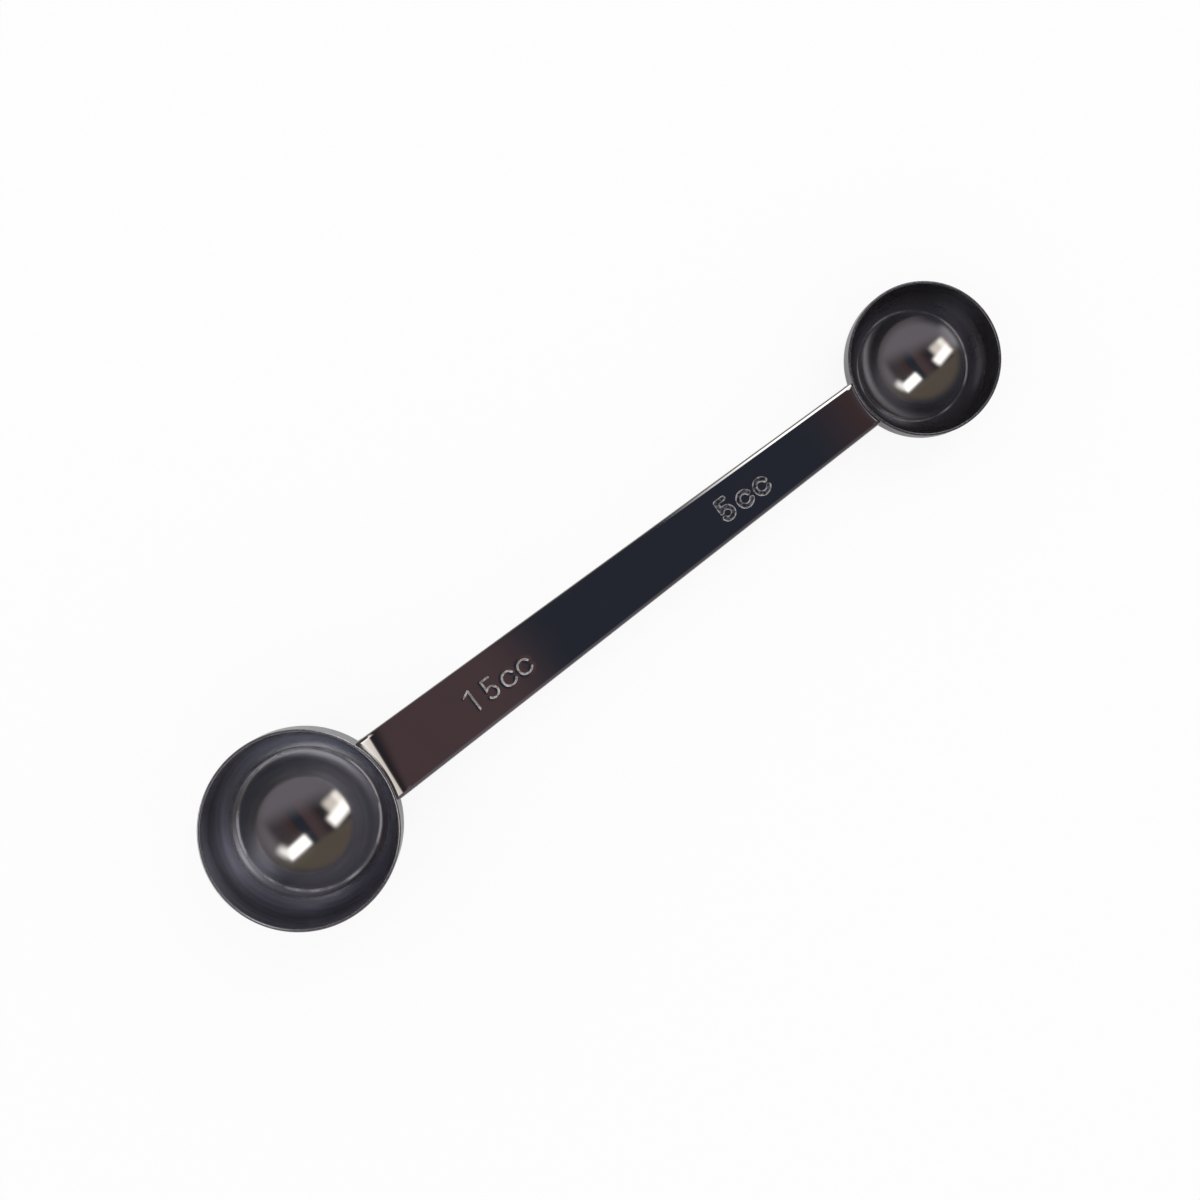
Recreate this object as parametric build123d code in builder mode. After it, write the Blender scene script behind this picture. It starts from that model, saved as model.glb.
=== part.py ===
from build123d import *
from math import asin, atan2, cos, degrees, hypot, pi, radians, sin
import os

# Double-ended measuring spoon: a deep round cup of 15 ml and one of 5 ml, welded to the two ends of a flat tapered
# steel strip. It lies as on a table, on the lowest point of each cup, with the large cup at -X. Millimetres, +Z up,
# origin under the middle of the whole spoon. Heights inside a cup count down from the plane of both mouths.

# Cups, inside sizes
large_mouth_radius = 16.3
large_wall_height = 9.0
small_mouth_radius = 12.6
small_wall_height = 3.1
shoulder_start_share = 0.72
dome_radius_share = 1.17
cup_sheet = 0.5
rim_round_share = 0.4
cup_spacing = 131.0

# Strip between the cups, with its ends bent down along the cup walls
strip_thickness = 1.2
strip_width_at_large_cup = 11.9
strip_width_at_small_cup = 8.5
strip_below_rim = 0.3
strip_edge_round_share = 0.35
large_bend_inside = 1.0
large_tab_depth = 7.5
small_bend_inside = 0.4
small_tab_depth = 5.0
tab_corner_share = 0.12

# Spot welds, two on each tab
weld_radius = 1.1
large_weld_spacing = 5.2
small_weld_spacing = 3.6
weld_bite_share = 0.5
weld_dimple_share = 0.12

# Where the dome of each cup meets the rounder shoulder
dome_angle = asin(shoulder_start_share / dome_radius_share)
shoulder_share = (1 - shoulder_start_share) / (1 - sin(dome_angle))
shoulder_sweep = 90 - degrees(dome_angle)

large_shoulder = shoulder_share * large_mouth_radius
large_dome = dome_radius_share * large_mouth_radius
large_dome_centre = (large_dome - large_shoulder) * cos(dome_angle) - large_wall_height
large_depth = large_dome - large_dome_centre
large_outer_radius = large_mouth_radius + cup_sheet

small_shoulder = shoulder_share * small_mouth_radius
small_dome = dome_radius_share * small_mouth_radius
small_dome_centre = (small_dome - small_shoulder) * cos(dome_angle) - small_wall_height
small_depth = small_dome - small_dome_centre
small_outer_radius = small_mouth_radius + cup_sheet

rim_round = rim_round_share * cup_sheet

# The deeper cup lifts its end, so the mouths lean by a few degrees when both domes touch the table
dome_drop = large_dome_centre - small_dome_centre
lean = asin((large_dome - small_dome) / hypot(dome_drop, cup_spacing)) - atan2(dome_drop, cup_spacing)
mouth_height = large_dome + cup_sheet - large_dome_centre * cos(lean)

# Ends of the leaning spoon along X, counted from the middle of the large mouth
left_end = (large_shoulder - large_mouth_radius) * cos(lean) - large_wall_height * sin(lean)
left_end = left_end - large_shoulder - cup_sheet
right_end = (cup_spacing + small_outer_radius - rim_round) * cos(lean) - rim_round * sin(lean) + rim_round
middle = (left_end + right_end) / 2

mouths = Plane(origin=(-middle, 0, mouth_height), x_dir=(cos(lean), 0, -sin(lean)), z_dir=(sin(lean), 0, cos(lean)))
small_mouth = Plane(
    origin=mouths.from_local_coords((cup_spacing, 0, 0)),
    x_dir=mouths.x_dir,
    z_dir=mouths.z_dir,
)
large_section = Plane(origin=mouths.origin, x_dir=mouths.x_dir, z_dir=-mouths.y_dir)
small_section = Plane(origin=small_mouth.origin, x_dir=mouths.x_dir, z_dir=-mouths.y_dir)
large_axis = Axis(mouths.origin, mouths.z_dir)
small_axis = Axis(small_mouth.origin, mouths.z_dir)
strip_axis = Axis(mouths.origin, mouths.x_dir)

# Welds sit half way down the straight part of each tab, and reach from inside the cup wall nearly through the strip
strip_edge_round = strip_edge_round_share * strip_thickness
large_bend = large_bend_inside + strip_thickness
small_bend = small_bend_inside + strip_thickness
large_weld_level = strip_below_rim + (large_bend + large_tab_depth) / 2
small_weld_level = strip_below_rim + (small_bend + small_tab_depth) / 2
weld_bite = weld_bite_share * cup_sheet
weld_length = weld_bite + (1 - weld_dimple_share) * strip_thickness
large_weld_angle = degrees(large_weld_spacing / large_outer_radius)
small_weld_angle = degrees(small_weld_spacing / small_outer_radius)

# Taper of the strip, carried on to both cup axes
taper = (strip_width_at_large_cup - strip_width_at_small_cup) / (cup_spacing - large_outer_radius - small_outer_radius)
half_width_large = (strip_width_at_large_cup + taper * large_outer_radius) / 2
half_width_small = (strip_width_at_small_cup - taper * small_outer_radius) / 2

large_welds_plane = mouths.offset(-large_weld_level)
with BuildPart(large_welds_plane) as large_bowl_welds:
    with PolarLocations(
        large_outer_radius - weld_bite, 2, -large_weld_angle / 2, large_weld_angle, endpoint=True
    ):
        Cylinder(weld_radius, weld_length, rotation=(0, 90, 0), align=(Align.CENTER, Align.CENTER, Align.MIN))
large_bowl_welds.part.label = "large_bowl_welds"

small_welds_plane = small_mouth.offset(-small_weld_level)
with BuildPart(small_welds_plane) as small_bowl_welds:
    with PolarLocations(
        small_outer_radius - weld_bite, 2, 180 - small_weld_angle / 2, small_weld_angle, endpoint=True
    ):
        Cylinder(weld_radius, weld_length, rotation=(0, 90, 0), align=(Align.CENTER, Align.CENTER, Align.MIN))
small_bowl_welds.part.label = "small_bowl_welds"

with BuildPart() as large_bowl:
    with BuildSketch(large_section) as large_profile:
        with BuildLine():
            Line((large_mouth_radius, 0), (large_mouth_radius, -large_wall_height))
            CenterArc(
                (large_mouth_radius - large_shoulder, -large_wall_height), large_shoulder, 0, -shoulder_sweep
            )
            CenterArc((0, large_dome_centre), large_dome, -shoulder_sweep, shoulder_sweep - 90)
            Line((0, -large_depth), (0, -large_depth - cup_sheet))
            CenterArc((0, large_dome_centre), large_dome + cup_sheet, -90, 90 - shoulder_sweep)
            CenterArc(
                (large_mouth_radius - large_shoulder, -large_wall_height),
                large_shoulder + cup_sheet,
                -shoulder_sweep,
                shoulder_sweep,
            )
            Line((large_outer_radius, -large_wall_height), (large_outer_radius, 0))
            Line((large_outer_radius, 0), (large_mouth_radius, 0))
        make_face()
        fillet(large_profile.vertices().group_by(Axis.Y)[-1], rim_round)
    revolve(axis=large_axis)
    with Locations(large_welds_plane):
        with PolarLocations(
            large_outer_radius - weld_bite, 2, -large_weld_angle / 2, large_weld_angle, endpoint=True
        ):
            Cylinder(
                weld_radius,
                weld_length,
                rotation=(0, 90, 0),
                align=(Align.CENTER, Align.CENTER, Align.MIN),
                mode=Mode.SUBTRACT,
            )
large_bowl.part.label = "large_bowl"

with BuildPart() as small_bowl:
    with BuildSketch(small_section) as small_profile:
        with BuildLine():
            Line((small_mouth_radius, 0), (small_mouth_radius, -small_wall_height))
            CenterArc(
                (small_mouth_radius - small_shoulder, -small_wall_height), small_shoulder, 0, -shoulder_sweep
            )
            CenterArc((0, small_dome_centre), small_dome, -shoulder_sweep, shoulder_sweep - 90)
            Line((0, -small_depth), (0, -small_depth - cup_sheet))
            CenterArc((0, small_dome_centre), small_dome + cup_sheet, -90, 90 - shoulder_sweep)
            CenterArc(
                (small_mouth_radius - small_shoulder, -small_wall_height),
                small_shoulder + cup_sheet,
                -shoulder_sweep,
                shoulder_sweep,
            )
            Line((small_outer_radius, -small_wall_height), (small_outer_radius, 0))
            Line((small_outer_radius, 0), (small_mouth_radius, 0))
        make_face()
        fillet(small_profile.vertices().group_by(Axis.Y)[-1], rim_round)
    revolve(axis=small_axis)
    with Locations(small_welds_plane):
        with PolarLocations(
            small_outer_radius - weld_bite, 2, 180 - small_weld_angle / 2, small_weld_angle, endpoint=True
        ):
            Cylinder(
                weld_radius,
                weld_length,
                rotation=(0, 90, 0),
                align=(Align.CENTER, Align.CENTER, Align.MIN),
                mode=Mode.SUBTRACT,
            )
small_bowl.part.label = "small_bowl"

with BuildPart() as handle:
    # Flat strip between the two bends
    with BuildSketch(mouths.offset(-strip_below_rim)):
        with BuildLine():
            Polyline(
                (0, -half_width_large),
                (cup_spacing, -half_width_small),
                (cup_spacing, half_width_small),
                (0, half_width_large),
                close=True,
            )
        make_face()
        Circle(large_outer_radius + large_bend, mode=Mode.SUBTRACT)
        with Locations((cup_spacing, 0)):
            Circle(small_outer_radius + small_bend, mode=Mode.SUBTRACT)
    extrude(amount=-strip_thickness)

    # Bend and tab around the large cup
    with BuildSketch(large_section):
        with BuildLine():
            bend_centre = (large_outer_radius + large_bend, -strip_below_rim - large_bend)
            CenterArc(bend_centre, large_bend, 90, 90)
            Polyline(
                (large_outer_radius, -strip_below_rim - large_bend),
                (large_outer_radius, -strip_below_rim - large_tab_depth),
                (large_outer_radius + strip_thickness, -strip_below_rim - large_tab_depth),
                (large_outer_radius + strip_thickness, -strip_below_rim - large_bend),
            )
            CenterArc(bend_centre, large_bend_inside, 180, -90)
            Line(
                (large_outer_radius + large_bend, -strip_below_rim - strip_thickness),
                (large_outer_radius + large_bend, -strip_below_rim),
            )
        make_face()
    revolve(axis=large_axis)

    # Bend and tab around the small cup, drawn on the side that faces away from the strip and turned all the way
    with BuildSketch(small_section):
        with BuildLine():
            bend_centre = (small_outer_radius + small_bend, -strip_below_rim - small_bend)
            CenterArc(bend_centre, small_bend, 90, 90)
            Polyline(
                (small_outer_radius, -strip_below_rim - small_bend),
                (small_outer_radius, -strip_below_rim - small_tab_depth),
                (small_outer_radius + strip_thickness, -strip_below_rim - small_tab_depth),
                (small_outer_radius + strip_thickness, -strip_below_rim - small_bend),
            )
            CenterArc(bend_centre, small_bend_inside, 180, -90)
            Line(
                (small_outer_radius + small_bend, -strip_below_rim - strip_thickness),
                (small_outer_radius + small_bend, -strip_below_rim),
            )
        make_face()
    revolve(axis=small_axis)

    # Everything outside the tapered outline is cut away
    with BuildSketch(mouths):
        with BuildLine():
            Polyline(
                (0, -half_width_large),
                (cup_spacing, -half_width_small),
                (cup_spacing, half_width_small),
                (0, half_width_large),
                close=True,
            )
        make_face()
    extrude(amount=-large_depth, mode=Mode.INTERSECT)

    # Rounded tab corners, then the tumbled edges along both sides
    level_faces = handle.faces().filter_by(mouths).sort_by(strip_axis)
    fillet(level_faces[0].edges().filter_by(GeomType.LINE), tab_corner_share * strip_width_at_large_cup)
    level_faces = handle.faces().filter_by(mouths).sort_by(strip_axis)
    fillet(level_faces[-1].edges().filter_by(GeomType.LINE), tab_corner_share * strip_width_at_small_cup)
    side_faces = handle.faces().sort_by(Axis.Y)
    fillet(side_faces[0].edges() + side_faces[-1].edges(), strip_edge_round)

    # Pockets that the welds fill, open to the dimples on the outside of the tabs
    with Locations(large_welds_plane):
        with PolarLocations(
            large_outer_radius - weld_bite, 2, -large_weld_angle / 2, large_weld_angle, endpoint=True
        ):
            Cylinder(
                weld_radius,
                weld_bite + 2 * strip_thickness,
                rotation=(0, 90, 0),
                align=(Align.CENTER, Align.CENTER, Align.MIN),
                mode=Mode.SUBTRACT,
            )
    with Locations(small_welds_plane):
        with PolarLocations(
            small_outer_radius - weld_bite, 2, 180 - small_weld_angle / 2, small_weld_angle, endpoint=True
        ):
            Cylinder(
                weld_radius,
                weld_bite + 2 * strip_thickness,
                rotation=(0, 90, 0),
                align=(Align.CENTER, Align.CENTER, Align.MIN),
                mode=Mode.SUBTRACT,
            )
handle.part.label = "handle"

os.makedirs("parts", exist_ok=True)
export_step(large_bowl.part, "parts/large_bowl.step")
export_step(small_bowl.part, "parts/small_bowl.step")
export_step(handle.part, "parts/handle.step")
export_step(large_bowl_welds.part, "parts/large_bowl_welds.step")
export_step(small_bowl_welds.part, "parts/small_bowl_welds.step")


def capacity(mouth_radius, wall_height):
    """Volume in ml of a cup filled level with its rim."""
    dome = dome_radius_share * mouth_radius
    shoulder = shoulder_share * mouth_radius
    rise = dome * (1 - cos(dome_angle))
    turn = pi / 2 - dome_angle
    inner = mouth_radius - shoulder
    cap = pi * rise**2 * (3 * dome - rise) / 3
    band = inner**2 * sin(turn) + inner * shoulder * (turn + sin(turn) * cos(turn))
    band = band + shoulder**2 * (sin(turn) - sin(turn) ** 3 / 3)
    return (pi * mouth_radius**2 * wall_height + pi * shoulder * band + cap) / 1000


print("large cup ml", round(capacity(large_mouth_radius, large_wall_height), 2), "depth", round(large_depth, 2))
print("small cup ml", round(capacity(small_mouth_radius, small_wall_height), 2), "depth", round(small_depth, 2))
print("lean", round(degrees(lean), 2), "length", round(right_end - left_end, 2), "mouth height", round(mouth_height, 2))
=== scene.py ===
import bpy
import numpy as np
from math import asin, atan2, cos, hypot, pi, radians, sin, tan
from mathutils import Matrix, Vector


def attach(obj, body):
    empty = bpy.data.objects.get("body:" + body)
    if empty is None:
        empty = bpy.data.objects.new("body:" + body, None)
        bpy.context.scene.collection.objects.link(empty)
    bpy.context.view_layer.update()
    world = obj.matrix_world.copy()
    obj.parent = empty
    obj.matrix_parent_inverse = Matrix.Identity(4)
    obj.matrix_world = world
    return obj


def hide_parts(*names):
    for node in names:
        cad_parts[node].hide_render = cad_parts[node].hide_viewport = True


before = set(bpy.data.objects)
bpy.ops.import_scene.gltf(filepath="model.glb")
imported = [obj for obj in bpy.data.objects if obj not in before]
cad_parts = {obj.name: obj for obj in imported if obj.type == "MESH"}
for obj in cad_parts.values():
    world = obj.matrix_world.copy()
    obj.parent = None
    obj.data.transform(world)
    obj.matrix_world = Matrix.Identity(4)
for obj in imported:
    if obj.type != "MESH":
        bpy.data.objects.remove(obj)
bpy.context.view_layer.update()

# Double-ended measuring spoon of polished steel: two drawn cups welded to a flat strip. Metres.
# Places on the spoon are written in its own frame: u runs along the strip from the large cup's
# axis, y across it, and v up from the plane of both mouths, which leans a little because the
# cups differ in depth.
mm = 0.001

# Cups, inside sizes
large_mouth_radius = 16.3 * mm
large_wall_height = 9.0 * mm
small_mouth_radius = 12.6 * mm
small_wall_height = 3.1 * mm
shoulder_start_share = 0.72
dome_radius_share = 1.17
cup_sheet = 0.5 * mm
rim_round_share = 0.4
cup_spacing = 131.0 * mm

# Points around a cup and along the parts of its section
cup_turns = 288
dome_points = 40
wall_steps = 40
outer_wall_steps = 12
shoulder_points = 60
outer_shoulder_points = 30
rim_points = 7

# Faint rings left by drawing: they fade in past the shoulder and fade out below the rim
ring_height = 0.005 * mm
ring_pitch = 1.3 * mm
ring_radius_shares = (0.8, 0.97)
ring_depths = (0.3 * mm, 1.5 * mm)

# Strip, with a facet and a round along each edge of its top
strip_thickness = 1.2 * mm
strip_width_at_large_cup = 11.9 * mm
strip_width_at_small_cup = 8.5 * mm
strip_below_rim = 0.3 * mm
edge_rise = 0.12 * mm
edge_facet = 0.29 * mm
edge_tilt = radians(9)
edge_round = 0.28 * mm
lower_edge_round = 0.42 * mm
large_tab_depth = 7.5 * mm
small_tab_depth = 5.0 * mm
tab_corner_share = 0.12

# Bends: a slack run of the flat, a sloping face from the bend's line, then a tight turn down the
# cup's wall. The large bend's line was pressed a little askew, and its slack run is longer on one
# side. The small bend follows its cup.
large_line_u = 17.85 * mm
large_line_skew = 0.1
small_line_gap = 0.45 * mm
large_slack_run = 2.9 * mm
large_slack_skew = 0.2
small_slack_run = 0.8 * mm
slack_tilt = radians(9)
slack_power = 1.5
face_tilt = radians(14)
face_curl = radians(4)
line_run = 0.35 * mm
large_turn_run = 0.15 * mm
small_turn_run = 0.14 * mm

# How far along the flat the shape of a bend's end is evened out, and the least step down a tab
even_out_run = 9.0 * mm
least_tab_step = 0.004 * mm

# Spot welds on the tabs, halfway between the height of a bend and its tab's end
large_bend_height = 2.2 * mm
small_bend_height = 1.6 * mm
large_weld_spacing = 5.2 * mm
small_weld_spacing = 3.6 * mm
dimple_radius = 1.3 * mm
dimple_flat_share = 0.8
dimple_depth = 0.2 * mm
dimple_reach = 3 * mm

# Stamped capacity marks. Each has its characters' places along the strip, its baseline, the width
# of a groove and of its sloping wall, the radius of a letter as a share of a digit's height, the
# stretch of the strip that needs close points, and the material slot of its walls.
# The marks' walls take a painted highlight, and the bottoms of their grooves painted shade.
mark_height = 3.7 * mm
mark_depth = 0.13 * mm
lip_drop = 0.01 * mm
lip_run = 0.3 * mm
slot_margin = 0.03 * mm
groove_bottom_slot = 2
large_mark = {
    "places": {"1": 35.87 * mm, "5": 38.25 * mm, "c": 42.72 * mm, "c2": 45.96 * mm},
    "base": -2.03 * mm, "groove": 0.3 * mm, "wall": 0.14 * mm, "letter_share": 0.33,
    "stretch": (34.2 * mm, 48.6 * mm), "slot": 1,
}
small_mark = {
    "places": {"5": 87.65 * mm, "c": 92.35 * mm, "c2": 95.88 * mm},
    "base": -1.8 * mm, "groove": 0.86 * mm, "wall": 0.16 * mm, "letter_share": 0.32,
    "stretch": (86.8 * mm, 98.2 * mm), "slot": 3,
}

# Spacing of the strip's points along it, and the middle share of its width that needs close ones
end_spacing = 0.45 * mm
mark_spacing = 0.05 * mm
middle_spacing = 0.7 * mm
mark_band_share = 0.66

# Points around the strip's section, steps along its bends and down its tabs, points on the arcs
# of its marks
mark_band_points = 136
band_side_points = 7
edge_round_points = 9
lower_round_points = 6
bottom_points = 61
slack_points = 14
face_points = 7
turn_points = 13
tab_steps = 48
corner_points = 9
digit_arc_points = 20
letter_arc_points = 28

# Rounds in which a point's y and the strip's width at it settle
width_rounds = 3

# Camera, from the places of both mouths in the photograph
camera_u = 46.0 * mm
camera_y = 9.0 * mm
camera_height = 320.0 * mm
aim_u = 62.625 * mm
aim_y = 0.483 * mm
strip_angle_in_view = radians(37.047)
focal_pixels = 1922.6
photo_pixels = 1200
sensor = 36.0
nearest_seen = 10 * mm

# Sizes that follow
top_edge_width = edge_rise + edge_facet + edge_round * (1 - sin(edge_tilt))
dome_angle = asin(shoulder_start_share / dome_radius_share)
shoulder_share = (1 - shoulder_start_share) / (1 - sin(dome_angle))
large_outer_radius = large_mouth_radius + cup_sheet
small_outer_radius = small_mouth_radius + cup_sheet
strip_run = cup_spacing - large_outer_radius - small_outer_radius
taper = (strip_width_at_large_cup - strip_width_at_small_cup) / strip_run


def dome_centre(mouth_radius, wall_height):
    """Height of the dome's centre above the mouth."""
    return (dome_radius_share - shoulder_share) * mouth_radius * cos(dome_angle) - wall_height


def resting_frame():
    """Matrix from the spoon's own frame to the world, with both domes on the floor."""
    large_dome = dome_radius_share * large_mouth_radius
    small_dome = dome_radius_share * small_mouth_radius
    large_centre = dome_centre(large_mouth_radius, large_wall_height)
    drop = large_centre - dome_centre(small_mouth_radius, small_wall_height)
    lean = asin((large_dome - small_dome) / hypot(drop, cup_spacing)) - atan2(drop, cup_spacing)
    mouth_height = large_dome + cup_sheet - large_centre * cos(lean)
    shoulder = shoulder_share * large_mouth_radius
    rim_round = rim_round_share * cup_sheet
    left = (shoulder - large_mouth_radius) * cos(lean) - large_wall_height * sin(lean)
    left = left - shoulder - cup_sheet
    right = (cup_spacing + small_outer_radius - rim_round) * cos(lean) - rim_round * sin(lean)
    right = right + rim_round
    turn = Matrix.Rotation(lean, 4, "Y")
    return Matrix.Translation((-(left + right) / 2, 0, mouth_height)) @ turn


spoon = resting_frame()


def add_mesh(name, points, faces, place):
    """Mesh object from points and faces, smooth shaded, at a place given as a matrix."""
    mesh = bpy.data.meshes.new(name)
    mesh.from_pydata([tuple(p) for p in points], [], faces)
    mesh.validate()
    mesh.transform(place)
    mesh.update()
    mesh.polygons.foreach_set("use_smooth", [True] * len(mesh.polygons))
    piece = bpy.data.objects.new(name, mesh)
    bpy.context.scene.collection.objects.link(piece)
    return piece


def smoothstep(low, high, value):
    share = np.clip((value - low) / (high - low), 0, 1)
    return share * share * (3 - 2 * share)


def arc(centre, radius, start, end, count):
    """Points on an arc, angles in radians."""
    angles = np.linspace(start, end, count)
    return [(centre[0] + radius * cos(a), centre[1] + radius * sin(a)) for a in angles]


# Short ways to add shader nodes
def link_value(tree, socket, value):
    """Links a socket to a value that is a socket, or sets it to one that isn't."""
    if isinstance(value, bpy.types.NodeSocket):
        tree.links.new(value, socket)
    else:
        socket.default_value = value


def calc(tree, operation, *values):
    """Math node on sockets or numbers."""
    node = tree.nodes.new("ShaderNodeMath")
    node.operation = operation
    for socket, value in zip(node.inputs, values):
        link_value(tree, socket, value)
    return node.outputs[0]


def ramp(tree, value, low, high, out_low=0.0, out_high=1.0):
    """Smooth step of a socket between two values."""
    node = tree.nodes.new("ShaderNodeMapRange")
    node.interpolation_type = "SMOOTHSTEP"
    for socket, number in zip(node.inputs, (value, low, high, out_low, out_high)):
        link_value(tree, socket, number)
    return node.outputs[0]


def mix(tree, share, first, second):
    """Colour mix of sockets or colours."""
    node = tree.nodes.new("ShaderNodeMix")
    node.data_type = "RGBA"
    link_value(tree, node.inputs["Factor"], share)
    for name, colour in (("A", first), ("B", second)):
        socket = [s for s in node.inputs if s.name == name and s.type == "RGBA"][0]
        link_value(tree, socket, colour if isinstance(colour, bpy.types.NodeSocket) else (*colour, 1))
    return [s for s in node.outputs if s.type == "RGBA"][0]


def noise(tree, vector, scale, detail):
    node = tree.nodes.new("ShaderNodeTexNoise")
    tree.links.new(vector, node.inputs["Vector"])
    node.inputs["Scale"].default_value = scale
    node.inputs["Detail"].default_value = detail
    return node.outputs[0]


def stretched(tree, vector, scale):
    """Vector with each axis scaled by its own factor."""
    node = tree.nodes.new("ShaderNodeVectorMath")
    node.operation = "MULTIPLY"
    tree.links.new(vector, node.inputs[0])
    node.inputs[1].default_value = scale
    return node.outputs[0]


def separate(tree, vector):
    """The three parts of a vector."""
    node = tree.nodes.new("ShaderNodeSeparateXYZ")
    tree.links.new(vector, node.inputs[0])
    return node.outputs


def combine(tree, *parts):
    """Vector from sockets."""
    node = tree.nodes.new("ShaderNodeCombineXYZ")
    for socket, part in zip(node.inputs, parts):
        tree.links.new(part, socket)
    return node.outputs[0]


def object_place(tree):
    return tree.nodes.new("ShaderNodeTexCoord").outputs["Object"]


def own_place(tree, place):
    """Texture vector in a piece's own frame, which a matrix sets in the world."""
    node = tree.nodes.new("ShaderNodeMapping")
    node.vector_type = "TEXTURE"
    node.inputs["Location"].default_value = place.translation
    node.inputs["Rotation"].default_value = place.to_euler()
    tree.links.new(object_place(tree), node.inputs["Vector"])
    return node.outputs[0]


def add_bump(tree, shader, height, distance):
    """Bumps a shader's surface by a height socket, times a distance."""
    bump = tree.nodes.new("ShaderNodeBump")
    bump.inputs["Strength"].default_value = 1.0
    bump.inputs["Distance"].default_value = distance
    tree.links.new(height, bump.inputs["Height"])
    tree.links.new(bump.outputs[0], shader.inputs["Normal"])


def new_material(name):
    material = bpy.data.materials.new(name)
    material.use_nodes = True
    tree = material.node_tree
    return material, tree, tree.nodes["Principled BSDF"]


# Looks of the cups' sheet: tone, dark streaks and roughness of the straight wall, which starts and
# is full at shares of the mouth's radius. The tones hold painted light: painted shade darkens the
# small cup's wall inside and out, and a painted blue reflection tints the large cup's inner wall.
# Inside, the wall may also be less than a full mirror. The fine lines around a cup wander by a swing.
steel_colour = (0.60, 0.59, 0.58)
black = (0, 0, 0)
white = (1, 1, 1)
smudge_dark_share = 0.08
line_swing = 4 * mm
cup_wear_factor = 1.3
satin_wear_factor = 1.5
# Painted reflection: the large cup's inner wall is tinted pale blue, as the dark room it mirrors.
large_wall = {
    "tone_and_painted_light": (0.70, 0.725, 0.84), "streak": 0.25, "rough": 0.3,
    "start": 0.79, "full": 0.87, "metal": 1.0, "dome_rough": 0.085,
}
# Painted shade: the small cup's inner wall is much darker than steel.
small_wall = {
    "tone_and_painted_light": (0.26, 0.26, 0.30), "streak": 0.12, "rough": 0.27,
    "start": 0.69, "full": 0.76, "metal": 0.955, "dome_rough": 0.085,
}
large_outer = {
    "tone_and_painted_light": (0.60, 0.59, 0.58), "streak": 0.1, "rough": 0.12,
    "start": 0.79, "full": 0.87, "dome_rough": 0.09,
}
# Painted shade: the small cup's outside is darker than steel.
small_outer = {
    "tone_and_painted_light": (0.38, 0.365, 0.38), "streak": 0.1, "rough": 0.12,
    "start": 0.79, "full": 0.87, "dome_rough": 0.09,
}

# Painted highlight: a pale, rough, less metallic ring around the dome, at a share of the mouth's radius
painted_ring_share = 0.762
painted_ring_colour = (0.92, 0.89, 0.93)
painted_ring_rough = 0.25
painted_ring_metal = -0.6
large_painted_ring = {"strength": 1.0, "reach_share": 0.026}
small_painted_ring = {"strength": 0.6, "reach_share": 0.019}


def steel_shader(tree, shader, lines, smudge, base, rough_low, rough_high, bump_height):
    """Polished steel: colour, roughness and bump from fine lines and soft smudges.

    The base colour and the limits of the roughness may be sockets.
    """
    shader.inputs["Metallic"].default_value = 1.0
    smudged = mix(tree, smudge_dark_share, base, black)
    tree.links.new(mix(tree, smudge, smudged, base), shader.inputs["Base Color"])
    wear = calc(tree, "MULTIPLY", lines, smudge)
    rough = ramp(tree, wear, low=0.1, high=0.5, out_low=rough_low, out_high=rough_high)
    tree.links.new(rough, shader.inputs["Roughness"])
    add_bump(tree, shader, lines, bump_height)


def painted_ring_strength(tree, radius, turn, mouth_radius, painted_ring):
    """Strength of the painted highlight ring, which is broken around the cup."""
    cloud = noise(tree, turn, scale=1.7, detail=3.0)
    broken = ramp(tree, cloud, low=0.36, high=0.58, out_low=0.2)
    aside = calc(tree, "SUBTRACT", radius, painted_ring_share * mouth_radius)
    aside = calc(tree, "ABSOLUTE", aside)
    reach = painted_ring["reach_share"] * mouth_radius
    line = ramp(tree, aside, low=0, high=reach, out_low=painted_ring["strength"], out_high=0)
    return calc(tree, "MULTIPLY", line, broken)


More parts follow.
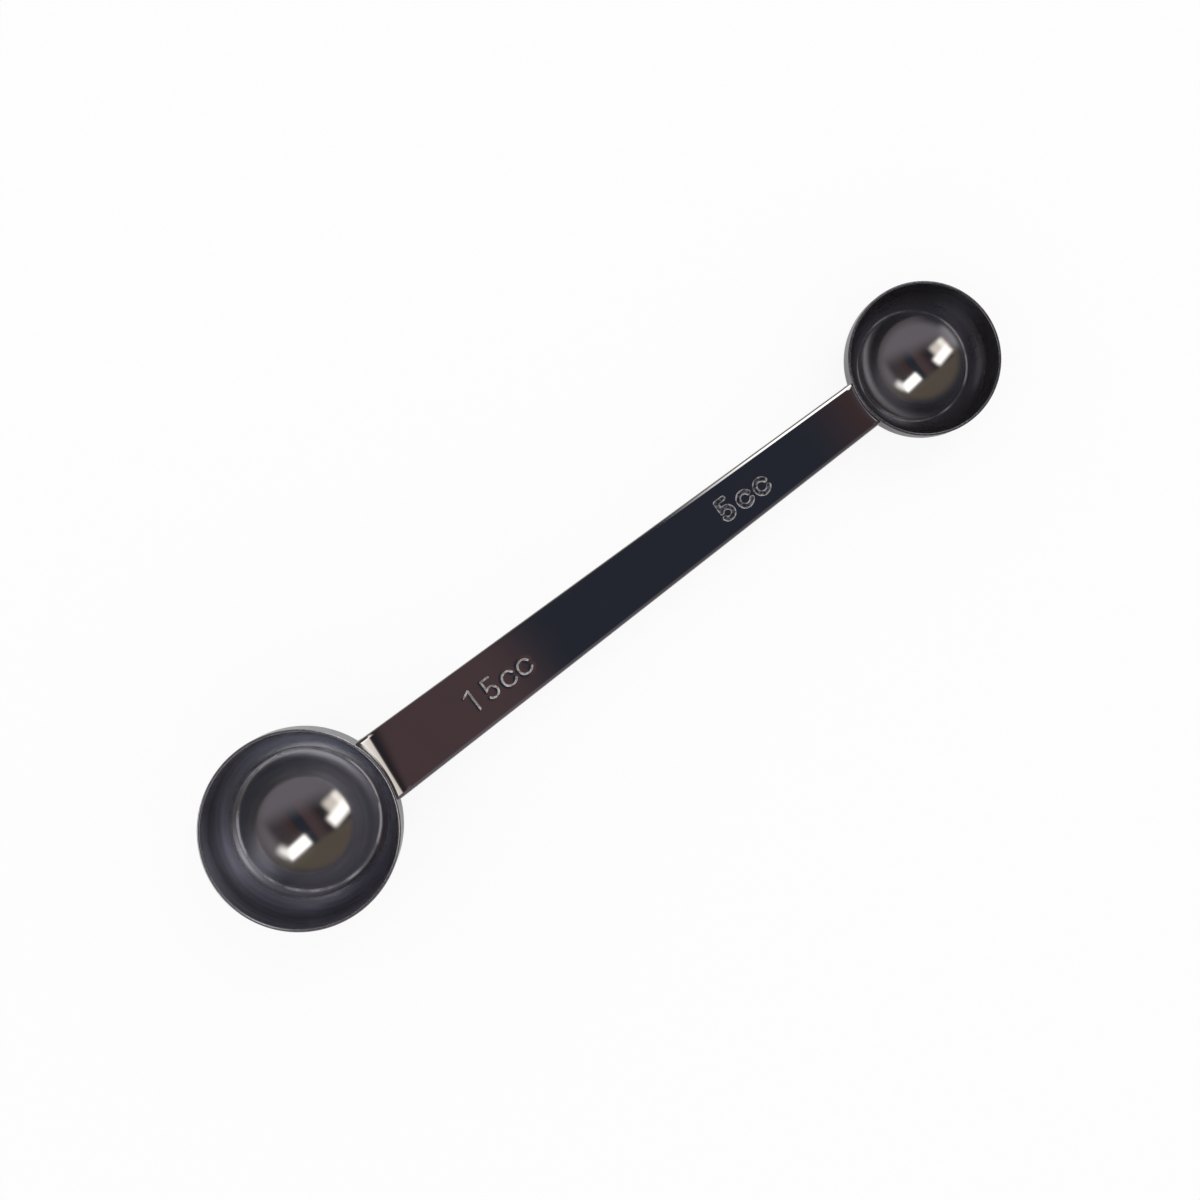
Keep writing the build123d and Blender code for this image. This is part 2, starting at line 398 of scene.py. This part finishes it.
def cup_steel(name, cup_place, mouth_radius, wall, painted_ring=None):
    """Drawn and polished sheet: faint rings around the cup's axis and a duller wall.

    Given the ring's looks, which are for the inside, it also has the painted highlight ring.
    """
    material, tree, shader = new_material(name)
    place = own_place(tree, cup_place)
    x, y, z = separate(tree, place)
    squares = calc(tree, "ADD", calc(tree, "MULTIPLY", x, x), calc(tree, "MULTIPLY", y, y))
    radius = calc(tree, "SQRT", squares)
    turn = combine(tree, calc(tree, "DIVIDE", x, radius), calc(tree, "DIVIDE", y, radius))
    swing = calc(tree, "MULTIPLY", noise(tree, turn, scale=1.1, detail=1.0), line_swing)
    ring = combine(tree, radius, z, swing)
    lines = noise(tree, ring, scale=2600, detail=2.0)
    smudge = noise(tree, place, scale=160, detail=2.0)
    dull = ramp(tree, radius, wall["start"] * mouth_radius, wall["full"] * mouth_radius)
    rough = calc(tree, "MULTIPLY_ADD", dull, wall["rough"] - wall["dome_rough"], wall["dome_rough"])
    drawn = noise(tree, stretched(tree, ring, (2, 1, 1)), scale=700, detail=3.0)
    # The straight wall's tone carries the painted shade and the painted reflection tint.
    streak = mix(tree, wall["streak"], wall["tone_and_painted_light"], black)
    streaked = mix(tree, ramp(tree, drawn, low=0.35, high=0.7), streak, wall["tone_and_painted_light"])
    tone_and_painted_light = mix(tree, dull, steel_colour, streaked)
    if painted_ring:
        # Painted highlight ring: paler, rougher and less metallic than the wall.
        line = painted_ring_strength(tree, radius, turn, mouth_radius, painted_ring)
        rough = calc(tree, "MULTIPLY_ADD", line, painted_ring_rough, rough)
        tone_and_painted_light = mix(tree, line, tone_and_painted_light, painted_ring_colour)
        metal = calc(tree, "MULTIPLY_ADD", dull, wall["metal"] - 1, 1.0)
        metal = calc(tree, "MULTIPLY_ADD", line, painted_ring_metal, metal)
        tree.links.new(metal, shader.inputs["Metallic"])
    worn = calc(tree, "MULTIPLY", rough, cup_wear_factor)
    steel_shader(tree, shader, lines, smudge, tone_and_painted_light, rough, worn, bump_height=0.0012 * mm)
    return material


def strip_steel(name):
    """Mirror-polished strip: hairlines along it and soft smudges."""
    material, tree, shader = new_material(name)
    place = own_place(tree, spoon)
    lines = noise(tree, stretched(tree, place, (60, 4200, 4200)), scale=1.0, detail=2.0)
    smudge = noise(tree, place, scale=90, detail=2.0)
    steel_shader(
        tree, shader, lines, smudge, steel_colour,
        rough_low=0.02, rough_high=0.07, bump_height=0.0006 * mm
    )
    return material


def satin_painted_light_steel(name, dark, light, metallic, rough, bump_height):
    """Steel that scatters some light, toned between a dark and a light colour: painted highlight on the
    marks' walls, painted shade on their bottoms and on the small rim, plain grey on the large rim.
    """
    material, tree, shader = new_material(name)
    place = object_place(tree)
    lines = noise(tree, place, scale=3500, detail=3.0)
    smudge = noise(tree, place, scale=1700, detail=2.0)
    tone_and_painted_light = mix(tree, ramp(tree, smudge, low=0.38, high=0.62), dark, light)
    steel_shader(tree, shader, lines, smudge, tone_and_painted_light, rough, satin_wear_factor * rough, bump_height)
    shader.inputs["Metallic"].default_value = metallic
    return material


def weld_steel(name):
    """Spot weld: dull grey disc with straw-coloured heat tint that fades to blue grey."""
    blue_grey = (0.42, 0.40, 0.42)
    straw = (0.55, 0.47, 0.36)
    material, tree, shader = new_material(name)
    cloud = noise(tree, object_place(tree), scale=1400, detail=4.0)
    shader.inputs["Metallic"].default_value = 1.0
    tint = mix(tree, ramp(tree, cloud, low=0.35, high=0.65), blue_grey, straw)
    tree.links.new(tint, shader.inputs["Base Color"])
    rough = ramp(tree, cloud, low=0.3, high=0.7, out_low=0.3, out_high=0.5)
    tree.links.new(rough, shader.inputs["Roughness"])
    add_bump(tree, shader, cloud, distance=0.03 * mm)
    return material


# Cups
def cup_profile(mouth_radius, wall_height):
    """Half a cup's section, from the inside bottom over the rim to the outside bottom.

    It comes with the numbers of the points at which the rim starts and ends.
    """
    dome = dome_radius_share * mouth_radius
    shoulder = shoulder_share * mouth_radius
    centre = dome_centre(mouth_radius, wall_height)
    shoulder_centre = (mouth_radius - shoulder, -wall_height)
    rim = rim_round_share * cup_sheet
    turn = dome_angle - pi / 2
    smooth = arc((0, centre), dome, -pi / 2, turn, dome_points)
    smooth += arc(shoulder_centre, shoulder, turn, 0, shoulder_points)[1:]
    smooth += [(mouth_radius, -wall_height * (1 - i / wall_steps)) for i in range(1, wall_steps)]
    inside = []
    for radius, height in smooth:
        fade = smoothstep(*ring_radius_shares, radius / mouth_radius) * smoothstep(*ring_depths, -height)
        inside.append((radius + ring_height * fade * sin(2 * pi * height / ring_pitch), height))
    top = arc((mouth_radius + rim, -rim), rim, pi, pi / 2, rim_points)
    top += arc((mouth_radius + cup_sheet - rim, -rim), rim, pi / 2, 0, rim_points)
    outer_radius = mouth_radius + cup_sheet
    outside = [(outer_radius, -wall_height * i / outer_wall_steps) for i in range(1, outer_wall_steps)]
    outside += arc(shoulder_centre, shoulder + cup_sheet, 0, turn, outer_shoulder_points)
    outside += arc((0, centre), dome + cup_sheet, turn, -pi / 2, dome_points)[1:]
    return inside + top + outside, len(inside) - 1, len(inside) + len(top)


def make_cup(name, node, mouth_radius, wall_height, along, wall, outer_wall, painted_ring, rim_material):
    """Lathed cup whose own frame has its axis as Z and the mouth at zero."""
    profile, rim_start, rim_end = cup_profile(mouth_radius, wall_height)
    points = [(0, 0, profile[0][1])]
    for radius, height in profile[1:-1]:
        for i in range(cup_turns):
            a = 2 * pi * i / cup_turns
            points.append((radius * cos(a), radius * sin(a), height))
    points.append((0, 0, profile[-1][1]))
    rings = len(profile) - 2
    last = len(points) - 1
    faces = []
    slots = []
    for i in range(cup_turns):
        j = (i + 1) % cup_turns
        faces.append((0, 1 + i, 1 + j))
        faces.append((last, last - cup_turns + j, last - cup_turns + i))
        slots += [0, 1]
        for ring in range(1, rings):
            low = 1 + (ring - 1) * cup_turns
            high = low + cup_turns
            faces.append((low + i, high + i, high + j, low + j))
            slots.append(0 if ring < rim_start else 2 if ring < rim_end else 1)
    place = spoon @ Matrix.Translation((along, 0, 0))
    cup = add_mesh(name, points, faces, place)
    cup.data.materials.append(cup_steel(name + "_inside_painted_light", place, mouth_radius, wall, painted_ring))
    cup.data.materials.append(cup_steel(name + "_outside_tone_and_shade", place, mouth_radius, outer_wall))
    cup.data.materials.append(rim_material)
    cup.data.polygons.foreach_set("material_index", slots)
    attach(cup, "root")
    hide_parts(node)
    return cup


# Strip: rows of one section, one after another from the large tab's end to the small tab's end
def half_width(u):
    return (strip_width_at_large_cup + taper * (large_outer_radius - u)) / 2


def strip_section():
    """Points around the section, and how many of them lie on the flat of its top.

    Each is a share of the flat core's half width, an offset past it, and a depth from the top.
    """
    band = mark_band_share
    shares = np.concatenate([
        np.linspace(-1, -band, band_side_points),
        np.linspace(-band, band, mark_band_points)[1:-1],
        np.linspace(band, 1, band_side_points),
    ])
    top = [(s, 0.0, 0.0) for s in shares]
    quarters = (0.25, 0.5, 0.75, 1)
    edge = [(edge_rise * s, edge_rise * s * s * tan(edge_tilt) / 2) for s in quarters]
    rise_drop = edge[-1][1]
    for s in quarters:
        edge.append((edge_rise + edge_facet * s, rise_drop + edge_facet * s * tan(edge_tilt)))
    facet_drop = edge[-1][1]
    for a in np.linspace(edge_tilt, pi / 2, edge_round_points)[1:]:
        out = edge_rise + edge_facet + edge_round * (sin(a) - sin(edge_tilt))
        edge.append((out, facet_drop + edge_round * (cos(edge_tilt) - cos(a))))
    low = strip_thickness - lower_edge_round
    for a in np.linspace(0, pi / 2, lower_round_points):
        edge.append((top_edge_width - lower_edge_round * (1 - cos(a)), low + lower_edge_round * sin(a)))
    right = [(1, out, down) for out, down in edge]
    left = [(-1, -out, down) for out, down in reversed(edge)]
    bottom_past = top_edge_width - lower_edge_round
    bottom_shares = np.linspace(1, -1, bottom_points)[1:-1]
    bottom = [(s, bottom_past * s, strip_thickness) for s in bottom_shares]
    return np.array(top + right + bottom + left), len(top)


section, top_count = strip_section()
section_share, section_past, section_depth = section.T


def section_y(u_of, inset=0.0):
    """Y of each point of the section, with the half width taken at the point's own u."""
    y = section_share * 0
    for _ in range(width_rounds):
        half = half_width(u_of(y)) - top_edge_width - inset
        y = section_share * half + section_past
    return y


def bend_steps(line_gap, slack_run, turn_run):
    """Distance from the cup's wall, drop and tilt of a bend's top, in steps from flat to tab."""
    gap = np.asarray(line_gap)
    slack = np.linspace(0, 1, slack_points)[:, None]
    break_over = np.linspace(0, 1, face_points)[1:, None]
    face = np.linspace(0, 1, face_points)[1:, None]
    distance = np.concatenate([
        gap + slack_run * (1 - slack),
        gap - line_run * break_over,
        gap - line_run - (gap - line_run - turn_run) * face,
    ])
    tilt = np.concatenate([
        slack_tilt * slack**slack_power + 0 * gap,
        slack_tilt + (face_tilt - slack_tilt) * smoothstep(0, 1, break_over) + 0 * gap,
        face_tilt + face_curl * face + 0 * gap,
    ])
    slope = np.tan(tilt)
    falls = (slope[1:] + slope[:-1]) / 2 * (distance[:-1] - distance[1:])
    drop = np.concatenate([0 * gap[None], np.cumsum(falls, axis=0)])
    turn_start = face_tilt + face_curl
    radius = turn_run / (1 - sin(turn_start))
    turn = np.linspace(turn_start, pi / 2, turn_points)[1:, None]
    distance = np.concatenate([distance, radius * (1 - np.sin(turn)) + 0 * gap])
    drop = np.concatenate([drop, drop[-1] + radius * (cos(turn_start) - np.cos(turn))])
    tilt = np.concatenate([tilt, turn + 0 * gap])
    return distance, drop, tilt


def strip_end(axis_u, sign, outer, gap_at, slack_at, turn_run, tab_depth):
    """Rows of one tab and bend, from the tab's end to the flat.

    The gap from the cup's wall to the bend's line and the slack run are functions of y.
    """

    def u_at(y, distance):
        return axis_u + sign * np.sqrt(outer**2 - y**2) + sign * distance

    def steps_at(y):
        return bend_steps(gap_at(y, u_at(y, 0)), slack_at(y), turn_run)

    y = section_y(lambda y: u_at(y, 0))
    rows = []
    for step in range(len(steps_at(y)[0])):
        for _ in range(width_rounds):
            distance, drop, tilt = (a[step] for a in steps_at(y))
            away = np.maximum(distance + section_depth * np.sin(tilt), section_depth)
            y = section_share * (half_width(u_at(y, away)) - top_edge_width) + section_past
        rows.append([u_at(y, away), y, -drop - section_depth * np.cos(tilt)])
    start = drop.copy()
    width = strip_width_at_large_cup if sign > 0 else strip_width_at_small_cup
    corner = tab_corner_share * width
    straight = tab_depth - corner
    steps = [(i / tab_steps, 0.0, 0.0) for i in range(1, tab_steps + 1)]
    for a in np.linspace(0, pi / 2, corner_points)[1:]:
        steps.append((1.0, corner * sin(a), corner * (1 - cos(a))))
    for part, below, inset in steps:
        y = section_y(lambda y: u_at(y, section_depth), inset)
        rows.append([u_at(y, section_depth), y, -(start + (straight - start) * part) - below])
    for before, row in zip(rows, rows[1:]):
        lowered = np.where(section_depth > 0, before[2] - least_tab_step, row[2])
        row[2] = np.minimum(row[2], lowered)
    return [[u, y, level - strip_below_rim] for u, y, level in reversed(rows)]


def large_gap(y, wall_u):
    return large_line_u + large_line_skew * y - wall_u


def large_slack(y):
    return large_slack_run + large_slack_skew * y


def small_gap(y, wall_u):
    return small_line_gap + 0 * y


def small_slack(y):
    return small_slack_run + 0 * y


def strip_stations(start, end):
    """Places of the rows along the flat, close together where the marks are."""
    stops = [start, *large_mark["stretch"], *small_mark["stretch"], end]
    spacings = [end_spacing, mark_spacing, middle_spacing, mark_spacing, end_spacing]
    stations = [start]
    for low, high, spacing in zip(stops, stops[1:], spacings):
        stations += list(np.linspace(low, high, int(round((high - low) / spacing)) + 1))[1:]
    return stations[1:-1]


def strip_flat(first, last):
    """Rows of the flat between the last row of the large bend and the first of the small one."""
    start = large_line_u + large_slack_run
    end = cup_spacing - small_outer_radius - small_line_gap - small_slack_run
    rows = []
    for station in strip_stations(start, end):
        u = np.full(section_share.shape, station)
        y = section_y(lambda y: np.full(section_share.shape, station))
        first_shift = np.interp(y, first[1][:top_count], first[0][:top_count]) - start
        last_shift = np.interp(y, last[1][:top_count], last[0][:top_count]) - end
        u = u + first_shift * (1 - smoothstep(0, even_out_run, station - start))
        u = u + last_shift * (1 - smoothstep(0, even_out_run, end - station))
        y = section_y(lambda y: u)
        rows.append([u, y, -strip_below_rim - section_depth])
    return rows


def joined(points):
    """Line pieces from each point to the next."""
    return list(zip(points, points[1:]))


def glyph(kind, letter_share):
    """Line pieces of a digit or letter, in shares of a digit's height."""
    if kind == "1":
        return joined([(-0.32, 0.83), (0.0, 1.0), (0.0, 0.0)])
    if kind == "5":
        bowl = arc((0.26, 0.29), 0.27, radians(140), radians(-150), digit_arc_points)
        return joined([(0.46, 0.95), (0.06, 0.95), (0.05, 0.46)]) + joined(bowl)
    letter = arc((0.0, letter_share), letter_share, radians(30), radians(331), letter_arc_points)
    return joined(letter)


def mark_strokes(mark):
    """Line pieces of a whole mark on the strip."""
    strokes = []
    for name, start in mark["places"].items():
        for piece in glyph(name[0], mark["letter_share"]):
            strokes.append([(start + mark_height * a, mark["base"] + mark_height * b) for a, b in piece])
    return strokes


def stroke_distance(u, y, strokes):
    """Distance from each point to the nearest of some line pieces."""
    best = np.full(u.shape, np.inf)
    for (u0, y0), (u1, y1) in strokes:
        du = u1 - u0
        dy = y1 - y0
        share = np.clip(((u - u0) * du + (y - y0) * dy) / (du * du + dy * dy), 0, 1)
        best = np.minimum(best, np.hypot(u - u0 - share * du, y - y0 - share * dy))
    return best


def marks_drop(u, y):
    """Depth of the marks below the strip's top, and the material slot at each point."""
    drop = np.zeros(u.shape)
    slot = np.zeros(u.shape, int)
    for mark in (large_mark, small_mark):
        distance = stroke_distance(u, y, mark_strokes(mark))
        half = mark["groove"] / 2
        drop += mark_depth * np.clip((half - distance) / mark["wall"], 0, 1)
        drop += lip_drop * np.exp(-((np.maximum(distance - half, 0) / lip_run) ** 2))
        slot[distance < half + slot_margin] = mark["slot"]
        slot[distance < half - mark["wall"] - slot_margin] = groove_bottom_slot
    return drop, slot


def press_dimples(points):
    """Pushes the outer faces of both tabs in around each weld."""
    outside = section_depth > strip_thickness - lower_edge_round
    large_down = (large_bend_height + large_tab_depth) / 2
    small_down = (small_bend_height + small_tab_depth) / 2
    ends = (
        (0.0, large_outer_radius, large_weld_spacing, large_down),
        (cup_spacing, small_outer_radius, small_weld_spacing, small_down),
    )
    for axis_u, radius, spacing, down in ends:
        level = -strip_below_rim - down
        offset_u = points[..., 0] - axis_u
        here = (np.abs(offset_u) < radius + dimple_reach) & outside[None, :]
        angle = np.arctan2(points[..., 1], np.abs(offset_u))
        for side in (-1, 1):
            away = np.hypot(angle * radius - side * spacing / 2, points[..., 2] - level)
            fade = 1 - smoothstep(dimple_flat_share * dimple_radius, dimple_radius, away)
            push = dimple_depth * fade * here
            points[..., 0] -= np.sign(offset_u) * push * np.cos(angle)
            points[..., 1] -= push * np.sin(angle)


def strip_faces(slot, rows, count):
    """Faces between the rows and at both ends, and their material slots."""
    faces = []
    slots = []
    for i in range(rows - 1):
        for j in range(count):
            k = (j + 1) % count
            faces.append((i * count + j, (i + 1) * count + j, (i + 1) * count + k, i * count + k))
            slots.append(int(min(slot[i, j], slot[i + 1, k])))
    faces.append(tuple(range(count)))
    faces.append(tuple(reversed(range((rows - 1) * count, rows * count))))
    return faces, slots + [0, 0]


def make_strip(materials):
    """The whole strip as one mesh, with its marks and dimples."""
    large_rows = strip_end(
        0.0, 1, large_outer_radius, large_gap, large_slack, large_turn_run, large_tab_depth
    )
    small_rows = strip_end(
        cup_spacing, -1, small_outer_radius, small_gap, small_slack, small_turn_run, small_tab_depth
    )
    rows = large_rows + strip_flat(large_rows[-1], small_rows[-1]) + small_rows[::-1]
    u, y, v = (np.array([row[i] for row in rows]) for i in range(3))
    slot = np.zeros(u.shape, int)
    drop, slot[:, :top_count] = marks_drop(u[:, :top_count], y[:, :top_count])
    v[:, :top_count] -= drop
    points = np.stack([u, y, v], axis=-1)
    press_dimples(points)
    faces, slots = strip_faces(slot, *u.shape)
    strip = add_mesh("handle_strip", points.reshape(-1, 3), faces, spoon)
    for material in materials:
        strip.data.materials.append(material)
    strip.data.polygons.foreach_set("material_index", slots)
    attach(strip, "root")
    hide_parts("handle")
    return strip


def dress_welds(material):
    """Gives the solids' own weld nuggets their look."""
    for node in ("large_bowl_welds", "small_bowl_welds"):
        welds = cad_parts[node]
        welds.data.materials.clear()
        welds.data.materials.append(material)


strip_material = strip_steel("mirror_steel")
# Painted highlight: pale, half-metal walls of the large mark's grooves.
large_mark_painted_highlight = satin_painted_light_steel(
    "stamped_wall_painted_highlight", dark=(0.36, 0.335, 0.34), light=(0.78, 0.73, 0.74),
    metallic=0.55, rough=0.3, bump_height=0.008 * mm
)
# Painted highlight, dimmer: walls of the small mark's grooves.
small_mark_painted_highlight = satin_painted_light_steel(
    "small_stamped_wall_painted_highlight", dark=(0.17, 0.17, 0.19), light=(0.66, 0.65, 0.69),
    metallic=0.55, rough=0.3, bump_height=0.008 * mm
)
# Painted shade: dark bottoms of the marks' grooves.
mark_bottom_painted_shade = satin_painted_light_steel(
    "stamped_bottom_painted_shade", dark=(0.05, 0.05, 0.06), light=(0.24, 0.24, 0.26),
    metallic=0.85, rough=0.3, bump_height=0.004 * mm
)
large_rim_material = satin_painted_light_steel(
    "large_ground_rim", dark=(0.59, 0.59, 0.61), light=(0.65, 0.65, 0.67),
    metallic=0.97, rough=0.14, bump_height=0.001 * mm
)
# Painted shade: the small cup's rim is much darker than steel.
small_rim_painted_shade = satin_painted_light_steel(
    "small_ground_rim_painted_shade", dark=(0.26, 0.25, 0.27), light=(0.31, 0.30, 0.32),
    metallic=0.98, rough=0.2, bump_height=0.001 * mm
)
weld_material = weld_steel("weld_steel")

make_cup(
    "large_cup", "large_bowl", large_mouth_radius, large_wall_height, 0.0,
    large_wall, large_outer, large_painted_ring, large_rim_material
)
make_cup(
    "small_cup", "small_bowl", small_mouth_radius, small_wall_height, cup_spacing,
    small_wall, small_outer, small_painted_ring, small_rim_painted_shade
)
make_strip((strip_material, large_mark_painted_highlight, mark_bottom_painted_shade, small_mark_painted_highlight))
dress_welds(weld_material)


# Floor, which metal mirrors as a mid grey: painted shade, as the floor in the spoon's shade
floor_size = 6.0
floor_rough = 0.9
floor_specular = 0.2
floor_colour = (0.92, 0.92, 0.92)
floor_fill = 0.88
# Painted shade: the floor as mirrored in metal is darker than it is seen.
painted_floor_shade_in_metal = (0.58, 0.58, 0.59)


def floor_material():
    material, tree, shader = new_material("pale_floor")
    shader.inputs["Roughness"].default_value = floor_rough
    shader.inputs["Specular IOR Level"].default_value = floor_specular
    rays = tree.nodes.new("ShaderNodeLightPath")
    seen = calc(tree, "MULTIPLY", rays.outputs["Is Camera Ray"], floor_fill)
    mirrored = mix(tree, rays.outputs["Is Glossy Ray"], floor_colour, painted_floor_shade_in_metal)
    tree.links.new(mirrored, shader.inputs["Base Color"])
    glow = tree.nodes.new("ShaderNodeEmission")
    glow.inputs["Color"].default_value = (*white, 1)
    blend = tree.nodes.new("ShaderNodeMixShader")
    tree.links.new(seen, blend.inputs[0])
    tree.links.new(shader.outputs[0], blend.inputs[1])
    tree.links.new(glow.outputs[0], blend.inputs[2])
    tree.links.new(blend.outputs[0], tree.nodes["Material Output"].inputs[0])
    return material


def make_floor():
    corner = floor_size / 2
    points = [(-corner, -corner, 0), (corner, -corner, 0), (corner, corner, 0), (-corner, corner, 0)]
    floor = add_mesh("floor", points, [(0, 1, 2, 3)], Matrix.Identity(4))
    floor.data.materials.append(floor_material())


make_floor()

# Room around the spoon, by direction: ax and ay are degrees from the zenith towards +X and +Y,
# worked out with a number just over one, so that straight up and down divide by more than zero.
just_over_one = 1.0001

# The two halves of the ceiling, what lies beyond it on each side, and the degrees between which
# one passes softly into the other
room_grey = (0.20, 0.182, 0.207)
room_brown = (0.135, 0.112, 0.09)
far_dusk = (0.040, 0.043, 0.056)
far_mauve = (0.12, 0.107, 0.117)
horizon = (0.72, 0.70, 0.72)
plain_light = (0.8, 0.8, 0.8)
brown_ends = (-4, 20)
mauve_ends = (-5, 35)
far_ends = (46, 60)
horizon_ends = (73, 82)

# Dark band over the strip: its colour at the -X end, then each change of it, as the ax between
# which it happens and the colour after it
band_shade = (0.030, 0.026, 0.032)
band_changes = {
    "maroon": {"ends": (-15, -1.5), "colour": (0.098, 0.064, 0.069)},
    "navy": {"ends": (2.8, 5.3), "colour": (0.030, 0.034, 0.050)},
    "rust": {"ends": (14.5, 17), "colour": (0.075, 0.045, 0.045)},
    "dim": {"ends": (19, 25), "colour": (0.070, 0.058, 0.066)},
}
band_slant = 0.25
band_low_ends = (-30, -4)
band_high_ends = (19, 27)
band_near_ends = (-46, -34)
band_far_ends = (34, 46)

# Boxes of light and wall, each over the ones before it: centre, half size, turn and half width of
# the soft edge in degrees
room_boxes = {
    "far wall": {
        "centre": (-62, -4), "half": (15, 18), "turn": 0, "soft": 8,
        "colour": (0.36, 0.345, 0.37),
    },
    "curtain": {
        "centre": (-32, 0), "half": (11, 8), "turn": 8, "soft": 4,
        "colour": (1.02, 0.94, 0.86),
    },
    "sill": {
        "centre": (-38, -1), "half": (3.5, 7), "turn": 8, "soft": 3,
        "colour": (1.5, 1.45, 1.35),
    },
    "blind": {
        "centre": (-29.5, 12), "half": (13.5, 6.3), "turn": 14, "soft": 3.5,
        "colour": (2.1, 2.0, 1.95),
    },
    "window": {
        "centre": (26, 16), "half": (13.7, 6.4), "turn": 6, "soft": 2.3,
        "colour": (2.2, 2.18, 2.15),
    },
    "wing": {
        "centre": (40, 11), "half": (4, 7), "turn": 22, "soft": 5,
        "colour": (1.5, 1.48, 1.45),
    },
}


def room_directions(tree):
    """Degrees from the zenith of the direction looked along, and their parts ax and ay."""
    x, y, z = separate(tree, tree.nodes.new("ShaderNodeTexCoord").outputs["Generated"])
    zenith = calc(tree, "DEGREES", calc(tree, "ARCCOSINE", z))
    flat = calc(tree, "SQRT", calc(tree, "SUBTRACT", just_over_one, calc(tree, "MULTIPLY", z, z)))
    stretch = calc(tree, "DIVIDE", zenith, flat)
    return zenith, calc(tree, "MULTIPLY", x, stretch), calc(tree, "MULTIPLY", y, stretch)


def inside_box(tree, ax, ay, box):
    """One inside a turned box of directions and zero outside, with soft edges."""
    c = cos(radians(box["turn"]))
    s = sin(radians(box["turn"]))
    across = calc(tree, "SUBTRACT", ax, box["centre"][0])
    up = calc(tree, "SUBTRACT", ay, box["centre"][1])
    x = calc(tree, "ADD", calc(tree, "MULTIPLY", across, c), calc(tree, "MULTIPLY", up, s))
    y = calc(tree, "SUBTRACT", calc(tree, "MULTIPLY", up, c), calc(tree, "MULTIPLY", across, s))
    inside = []
    for value, half in zip((x, y), box["half"]):
        low = half - box["soft"]
        high = half + box["soft"]
        inside.append(ramp(tree, calc(tree, "ABSOLUTE", value), low, high, out_low=1.0, out_high=0.0))
    return calc(tree, "MULTIPLY", *inside)


def add_band(tree, ax, ay, room):
    """Room with the dark band over it, whose edge towards -Y is soft and slants."""
    dark = band_shade
    for change in band_changes.values():
        dark = mix(tree, ramp(tree, ax, *change["ends"]), dark, change["colour"])
    slant = calc(tree, "ADD", ay, calc(tree, "MULTIPLY", ax, band_slant))
    low_edge = ramp(tree, slant, *band_low_ends)
    high_edge = ramp(tree, ay, *band_high_ends, out_low=1.0, out_high=0.0)
    near_end = ramp(tree, ax, *band_near_ends)
    far_end = ramp(tree, ax, *band_far_ends, out_low=1.0, out_high=0.0)
    across = calc(tree, "MULTIPLY", low_edge, high_edge)
    along = calc(tree, "MULTIPLY", near_end, far_end)
    return mix(tree, calc(tree, "MULTIPLY", across, along), room, dark)


def make_world():
    world = bpy.data.worlds.new("studio")
    bpy.context.scene.world = world
    world.use_nodes = True
    tree = world.node_tree
    zenith, ax, ay = room_directions(tree)
    room = mix(tree, ramp(tree, ay, *brown_ends), room_grey, room_brown)
    room = add_band(tree, ax, ay, room)
    side = calc(tree, "SUBTRACT", ax, ay)
    far = mix(tree, ramp(tree, side, *mauve_ends), far_dusk, far_mauve)
    room = mix(tree, ramp(tree, zenith, *far_ends), room, far)
    for box in room_boxes.values():
        room = mix(tree, inside_box(tree, ax, ay, box), room, box["colour"])
    room = mix(tree, ramp(tree, zenith, *horizon_ends), room, horizon)
    rays = tree.nodes.new("ShaderNodeLightPath")
    room = mix(tree, rays.outputs["Is Diffuse Ray"], room, plain_light)
    room = mix(tree, rays.outputs["Is Camera Ray"], room, white)
    background = tree.nodes["Background"]
    tree.links.new(room, background.inputs["Color"])
    background.inputs["Strength"].default_value = 1.0


make_world()

lamp_distance = 1.2


def add_lamp(name, tilts, spreads, radiance, colour):
    """Soft box at tilts from the zenith towards +X and +Y, with its size as angles in degrees."""
    away = Vector((tan(radians(tilts[0])), tan(radians(tilts[1])), 1)).normalized()
    lamp = bpy.data.lights.new(name, "AREA")
    lamp.shape = "RECTANGLE"
    lamp.size = 2 * lamp_distance * tan(radians(spreads[0] / 2))
    lamp.size_y = 2 * lamp_distance * tan(radians(spreads[1] / 2))
    lamp.energy = pi * lamp.size * lamp.size_y * radiance
    lamp.color = colour
    piece = bpy.data.objects.new(name, lamp)
    bpy.context.scene.collection.objects.link(piece)
    across = Vector((1, 0, 0))
    across = (across - away * across.dot(away)).normalized()
    up = away.cross(across)
    turn = Matrix((across, up, away)).transposed().to_4x4()
    piece.matrix_world = Matrix.Translation(away * lamp_distance) @ turn
    piece.visible_glossy = False


add_lamp("lamp_right", tilts=(26, 12), spreads=(32, 15), radiance=3.0, colour=(1.0, 0.99, 0.97))
add_lamp("lamp_left", tilts=(-30, 9), spreads=(24, 9), radiance=2.4, colour=(1.0, 0.96, 0.94))


def add_camera():
    """Camera above the spoon, turned so that the strip rises to the right as in the photograph."""
    camera = bpy.data.cameras.new("camera")
    camera.sensor_width = sensor
    camera.lens = sensor * focal_pixels / photo_pixels
    camera.clip_start = nearest_seen
    place = spoon @ Vector((camera_u, camera_y, camera_height))
    aim = spoon @ Vector((aim_u, aim_y, 0))
    back = (place - aim).normalized()
    strip = spoon.to_3x3() @ Vector((1, 0, 0))
    strip = (strip - back * strip.dot(back)).normalized()
    side = back.cross(strip)
    right = strip * cos(strip_angle_in_view) - side * sin(strip_angle_in_view)
    up = strip * sin(strip_angle_in_view) + side * cos(strip_angle_in_view)
    piece = bpy.data.objects.new("camera", camera)
    bpy.context.scene.collection.objects.link(piece)
    piece.matrix_world = Matrix.Translation(place) @ Matrix((right, up, back)).transposed().to_4x4()
    bpy.context.scene.camera = piece


add_camera()
bpy.context.scene.view_settings.view_transform = "Standard"
bpy.context.view_layer.update()
